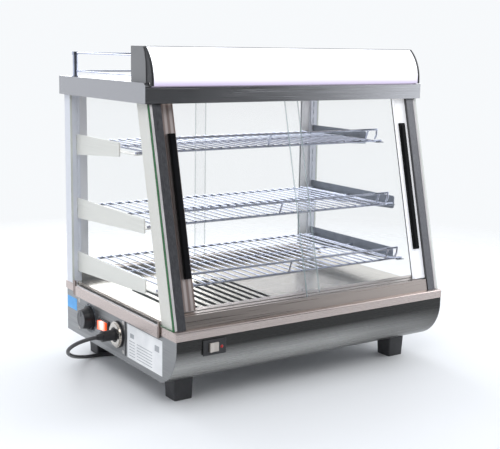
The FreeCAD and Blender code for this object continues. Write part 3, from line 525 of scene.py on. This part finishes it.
def slab(low_corner, high_corner, bevel=0.0003):
    """A block with softened edges, as a bmesh."""
    bm = bmesh.new()
    bmesh.ops.create_cube(bm, size=1.0)
    size = high_corner - low_corner
    for v in bm.verts:
        share = v.co + Vector((0.5, 0.5, 0.5))
        v.co = low_corner + Vector((share.x * size.x, share.y * size.y, share.z * size.z))
    bevel = min(bevel, min(size) * 0.4)
    bmesh.ops.bevel(bm, geom=list(bm.edges), offset=bevel, segments=2, profile=0.5, affect="EDGES")
    return bm


def join(parts):
    """One mesh from several bmeshes."""
    mesh = bpy.data.meshes.new("part")
    whole = bmesh.new()
    for bm in parts:
        bm.to_mesh(mesh)
        whole.from_mesh(mesh)
        bm.free()
    whole.to_mesh(mesh)
    whole.free()
    return mesh


def block(x0, y0, z0, x1, y1, z1, bevel=0.0003):
    a, b = at(x0, y0, z0), at(x1, y1, z1)
    first = Vector((min(a.x, b.x), min(a.y, b.y), min(a.z, b.z)))
    return slab(first, Vector((max(a.x, b.x), max(a.y, b.y), max(a.z, b.z))), bevel)


# ---- mains cord ----------------------------------------------------------------------------
CORD_D = 8.0
COIL = (-100.0, 572.0)
COIL_TURNS, COIL_POINTS = 4.25, 14
ROUTE = [
    (-370, 237.5, 101.5), (-400, 237.5, 101.5), (-423, 251, 92), (-433, 272, 76), (-425, 297, 59),
    (-406, 325, 43), (-383, 357, 28), (-356, 387, 14), (-326, 407, 4.5), (-291, 410, 4),
    (-262, 394, 4), (-231, 377, 4), (-197, 370, 4), (-166, 386, 4), (-146, 416, 4),
    (-139, 453, 4), (-142, 491, 4), (-147, 526, 4), (-148, 550, 4),
]


def ease(value, start, end):
    t = min(1.0, max(0.0, (value - start) / (end - start)))
    return t * t * (3 - 2 * t)


def coil_points():
    """Two layers of two turns each: outer then inner below, inner then outer above."""
    inner, outer, lower, upper = 40.0, 48.0, CORD_D / 2, CORD_D * 1.5
    made = []
    for i in range(1, round(COIL_TURNS * COIL_POINTS) + 1):
        t = i / COIL_POINTS
        r = outer - (outer - inner) * (ease(t, 0.75, 1.0) - ease(t, 2.75, 3.0))
        z = lower + (upper - lower) * ease(t, 1.75, 2.05)
        a = math.pi - 2 * math.pi * t
        made.append((COIL[0] + r * math.cos(a), COIL[1] + r * math.sin(a), z))
    return made


def cord():
    points = ROUTE + coil_points() + [(-96.0, 620.0, 12.4), (-90.0, 620.0, 12.4)]
    curve = bpy.data.curves.new("mains_cord", "CURVE")
    curve.dimensions = "3D"
    curve.bevel_depth = CORD_D / 2 * MM
    curve.bevel_resolution = 6
    curve.resolution_u = 8
    curve.use_fill_caps = True
    spline = curve.splines.new("NURBS")
    spline.points.add(len(points) - 1)
    for target, p in zip(spline.points, points):
        target.co = (*at(*p), 1.0)
    spline.order_u = 3
    spline.use_endpoint_u = True
    curve.materials.append(MATS["cord"])
    obj = bpy.data.objects.new("mains_cord", curve)
    bpy.context.collection.objects.link(obj)
    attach(obj, ROOT)
    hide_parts("cord_tube", "cord_coil")

    tie = join([
        block(COIL[0] + 33.5, COIL[1] - 6, 0.1, COIL[0] + 54, COIL[1] + 6, 0.9),
        block(COIL[0] + 33.5, COIL[1] - 6, 15.8, COIL[0] + 52.4, COIL[1] + 6, 16.6),
        block(COIL[0] + 34, COIL[1] - 6, 0.1, COIL[0] + 35.2, COIL[1] + 6, 16.6),
        block(COIL[0] + 51.4, COIL[1] - 6, 0.1, COIL[0] + 52.4, COIL[1] + 6, 16.6),
    ])
    tie_obj = piece("cord_tie", tie, "black")


cord()


# ---- stage ---------------------------------------------------------------------------------
def area_light(name, place, aim, size, power, color=(1.0, 1.0, 1.0)):
    data = bpy.data.lights.new(name, "AREA")
    data.shape = "RECTANGLE"
    data.size, data.size_y = size
    data.energy = power
    data.color = color
    obj = bpy.data.objects.new(name, data)
    obj.location = place
    obj.rotation_euler = (Vector(aim) - Vector(place)).to_track_quat("-Z", "Y").to_euler()
    bpy.context.collection.objects.link(obj)


VIEW_COLOR = (0.93, 0.95, 0.97)  # the room as the camera sees it
ROOM_COLOR = (0.84, 0.87, 0.92)  # the room as the cabinet mirrors it
# Brightness of the room by direction: where along the axis it starts and ends, and its values there.
REAR_GLOW = ("Y", -0.6, 0.1, 0.08, 1.2)
RIGHT_GLOW = ("X", 0.615, 0.70, 0.0, 2.0)
ABOVE_GLOW = ("Z", 0.35, 0.9, 0.0, 1.0)
FLOOR_R, FADE_START, FADE_END = 2.0, 0.75, 1.9


def studio():
    """A pale room, with a dark front and a bright right side for the metal to reflect."""
    world = bpy.data.worlds.new("studio")
    bpy.context.scene.world = world
    world.use_nodes = True
    nodes, links = world.node_tree.nodes, world.node_tree.links

    def ramp(axis, start, end, first, last):
        node = nodes.new("ShaderNodeMapRange")
        for key, value in (("From Min", start), ("From Max", end), ("To Min", first), ("To Max", last)):
            node.inputs[key].default_value = value
        links.new(split.outputs[axis], node.inputs["Value"])
        return node.outputs["Result"]

    place = nodes.new("ShaderNodeTexCoord")
    split = nodes.new("ShaderNodeSeparateXYZ")
    links.new(place.outputs["Generated"], split.inputs["Vector"])
    brightest = ramp(*REAR_GLOW)
    for glow in (RIGHT_GLOW, ABOVE_GLOW):
        node = nodes.new("ShaderNodeMath")
        node.operation = "MAXIMUM"
        links.new(brightest, node.inputs[0])
        links.new(ramp(*glow), node.inputs[1])
        brightest = node.outputs["Value"]
    lit = nodes.new("ShaderNodeVectorMath")
    lit.operation = "SCALE"
    lit.inputs[0].default_value = ROOM_COLOR
    links.new(brightest, lit.inputs["Scale"])
    path = nodes.new("ShaderNodeLightPath")
    seen = nodes.new("ShaderNodeMix")
    seen.data_type = "RGBA"
    seen.inputs[COLOR_B].default_value = (*VIEW_COLOR, 1.0)
    links.new(path.outputs["Is Camera Ray"], seen.inputs["Factor"])
    links.new(lit.outputs["Vector"], seen.inputs[COLOR_A])
    links.new(seen.outputs[COLOR_OUT], nodes["Background"].inputs["Color"])


def floor_finish():
    """Pale and matt under the cabinet, fading out all around so that no horizon shows."""
    s = Shader("floor", (0.82, 0.83, 0.84), 0.7)
    coords = s.nodes.new("ShaderNodeTexCoord")
    size = s.nodes.new("ShaderNodeVectorMath")
    size.operation = "LENGTH"
    s.links.new(coords.outputs["Object"], size.inputs[0])
    s.feed("Alpha", s.spread(size.outputs["Value"], 1.0, 0.0, FADE_START, FADE_END))
    return s.mat


def stage():
    mesh = bpy.data.meshes.new("floor")
    bm = bmesh.new()
    bmesh.ops.create_circle(bm, cap_ends=True, segments=96, radius=FLOOR_R)
    bm.to_mesh(mesh)
    bm.free()
    floor = bpy.data.objects.new("floor", mesh)
    bpy.context.collection.objects.link(floor)
    mesh.materials.append(floor_finish())

    studio()

    area_light("key", (-1.6, -2.2, 2.6), (0, 0, 0.35), (1.6, 1.6), 34.0)
    area_light("right_fill", (2.4, -0.8, 1.4), (0, 0, 0.35), (1.4, 1.4), 22.0)
    area_light("behind", (0.2, 2.4, 1.5), (0, 0, 0.35), (2.4, 1.6), 34.0, (0.96, 0.98, 1.0))
    bpy.context.scene.view_settings.view_transform = "Standard"


stage()


# ---- labels, dial, seams, gland rings and the pilot lamp -----------------------------------
def side_labels():
    """A blank rating plate and a plain blue sticker on the left side of the base."""
    face = SIDE_FACE
    piece("rating_label", join([block(face, 52, 64, face - 0.4, 197, 134, 0.0002)]), "label")
    rows = [block(face - 0.3, 64, 108, face - 0.55, 82, 120, 0.0001)]
    rows.append(block(face - 0.3, 168, 108, face - 0.55, 184, 117, 0.0001))
    for z in (70, 76, 82, 88, 94, 100):
        rows.append(block(face - 0.3, 92, z, face - 0.5, 156, z + 1.6, 0.0001))
        rows.append(block(face - 0.3, 164, z, face - 0.5, 188, z + 1.6, 0.0001))
    piece("rating_label_fields", join(rows), "label_grey")
    piece("blue_label", join([block(face, 441, 103, face - 0.4, 490, 130, 0.0002)]), "label_blue")


def ring_on_plate(y, z, inner, outer, x0, x1, steps=64):
    """A flat ring on the left side, between two radii and two depths, as a bmesh."""
    bm = bmesh.new()
    rings = []
    for r, x in ((inner, x0), (outer, x0), (outer, x1), (inner, x1)):
        ring = []
        for i in range(steps):
            a = 2 * math.pi * i / steps
            ring.append(bm.verts.new(at(x, y + r * math.cos(a), z + r * math.sin(a))))
        rings.append(ring)
    for a, b in zip(rings, rings[1:] + rings[:1]):
        for i in range(steps):
            j = (i + 1) % steps
            bm.faces.new((a[i], a[j], b[j], b[i]))
    bmesh.ops.recalc_face_normals(bm, faces=list(bm.faces))
    return bm


def dial():
    """A dark printed ring around the knob with even marks, and the knob's metal cap."""
    y, z = KNOB
    piece("dial_ring", join([ring_on_plate(y, z, 27.2, 31.5, PLATE_FACE, PLATE_FACE - 0.35)]), "dial")
    marks = []
    for i in range(11):
        a = math.radians(-60 + 30 * i)
        mark = block(PLATE_FACE - 0.3, y + 28.2, z - 0.5, PLATE_FACE - 0.55, y + 31.0, z + 0.5, 0.0001)
        centre = at(0, y, z)
        bmesh.ops.rotate(mark, cent=centre, matrix=Matrix.Rotation(a, 3, "X"), verts=list(mark.verts))
        marks.append(mark)
    piece("dial_marks", join(marks), "tick")
    front = low("thermostat_knob").x + 0.0008
    bm = bmesh.new()
    rings = []
    steps = 48
    profile = ((19.2, -0.0002), (19.2, 0.0004), (18.4, 0.0006), (15.0, 0.0006), (14.0, 0.0003), (2.0, 0.0003))
    for r, out in profile:
        ring = []
        for i in range(steps):
            a = 2 * math.pi * i / steps
            p = at(0, y + r * math.cos(a), z + r * math.sin(a))
            ring.append(bm.verts.new((front - out, p.y, p.z)))
        rings.append(ring)
    for a, b in zip(rings, rings[1:]):
        for i in range(steps):
            j = (i + 1) % steps
            bm.faces.new((a[i], a[j], b[j], b[i]))
    bm.faces.new(rings[-1])
    bm.faces.new(list(reversed(rings[0])))
    bmesh.ops.recalc_face_normals(bm, faces=list(bm.faces))
    piece("knob_cap", join([bm]), "knob_cap", "thermostat_knob")


def gland_rings():
    """A black gasket ring outside the bright collar that the cord comes through."""
    y, z = GLAND
    piece("gland_gasket", join([ring_on_plate(y, z, 24.2, 27.6, PLATE_FACE, PLATE_FACE - 3.6)]), "black")
    piece("gland_bush", join([ring_on_plate(y, z, 12.1, 15.5, PLATE_FACE - 7.4, PLATE_FACE - 8.6)]), "black")


def leaned_strip(x0, x1, w0, w1, v0, v1):
    """A strip laid along the slanted front, as a bmesh."""
    bm = bmesh.new()
    corners = {}
    for x in (x0, x1):
        for w in (w0, w1):
            for v in (v0, v1):
                corners[x, w, v] = bm.verts.new(on_slant(x, w, v))
    for a, b in ((x0, x1), (x1, x0)):
        bm.faces.new([corners[a, w, v] for w, v in ((w0, v0), (w1, v0), (w1, v1), (w0, v1))])
    for w in (w0, w1):
        bm.faces.new([corners[x, w, v] for x, v in ((x0, v0), (x1, v0), (x1, v1), (x0, v1))])
    for v in (v0, v1):
        bm.faces.new([corners[x, w, v] for x, w in ((x0, w0), (x1, w0), (x1, w1), (x0, w1))])
    bmesh.ops.recalc_face_normals(bm, faces=list(bm.faces))
    bmesh.ops.bevel(bm, geom=list(bm.edges), offset=0.0002, segments=2, profile=0.5, affect="EDGES")
    return bm


def post_seals():
    """The pale bead between each front post and the side pane."""
    for name, side in (("left", -1), ("right", 1)):
        bead = leaned_strip(side * 329.2, side * 334.2, -0.5, 0.3, 1.0, 427.0)
        piece("glass_bead_" + name, join([bead]), "seal")


def channel_gaskets():
    """The pale gasket between each side pane and the lip of its channel."""
    made = [block(side * 339.05, 66, 160.6, side * 341.2, 436, 163.4, 0.0006) for side in (-1, 1)]
    piece("channel_gaskets", join(made), "seal")


def slot_backs():
    """The pale strip behind the slots of each rear post."""
    made = [block(side * 319.0, 463.8, 172, side * 328.0, 464.6, 590) for side in (-1, 1)]
    piece("slot_backs", join(made), "standard")


def channel_end_seams():
    """Brownish blocks at the ends of the channels under the side panes: partly the real joint, partly a
    painted shadow in the seam.
    """
    made = []
    for side in (-1, 1):
        for y0, y1 in ((58.4, 63.4), (438.6, 450.0)):
            made.append(block(side * 339.2, y0, 139, side * 342.8, y1, 172, 0.0006))
    piece("channel_end_seams", join(made), "seam_shadow")


def pilot_lamp():
    """A small red lens beside the front rocker."""
    bm = bmesh.new()
    bmesh.ops.create_uvsphere(bm, u_segments=24, v_segments=12, radius=0.0032)
    centre = at(-239.5, -3.2, 124)
    for v in bm.verts:
        v.co = Vector((v.co.x, v.co.y * 0.45, v.co.z)) + centre
    piece("pilot_lens", join([bm]), "red")


side_labels()
dial()
gland_rings()
post_seals()
channel_gaskets()
slot_backs()
channel_end_seams()
pilot_lamp()
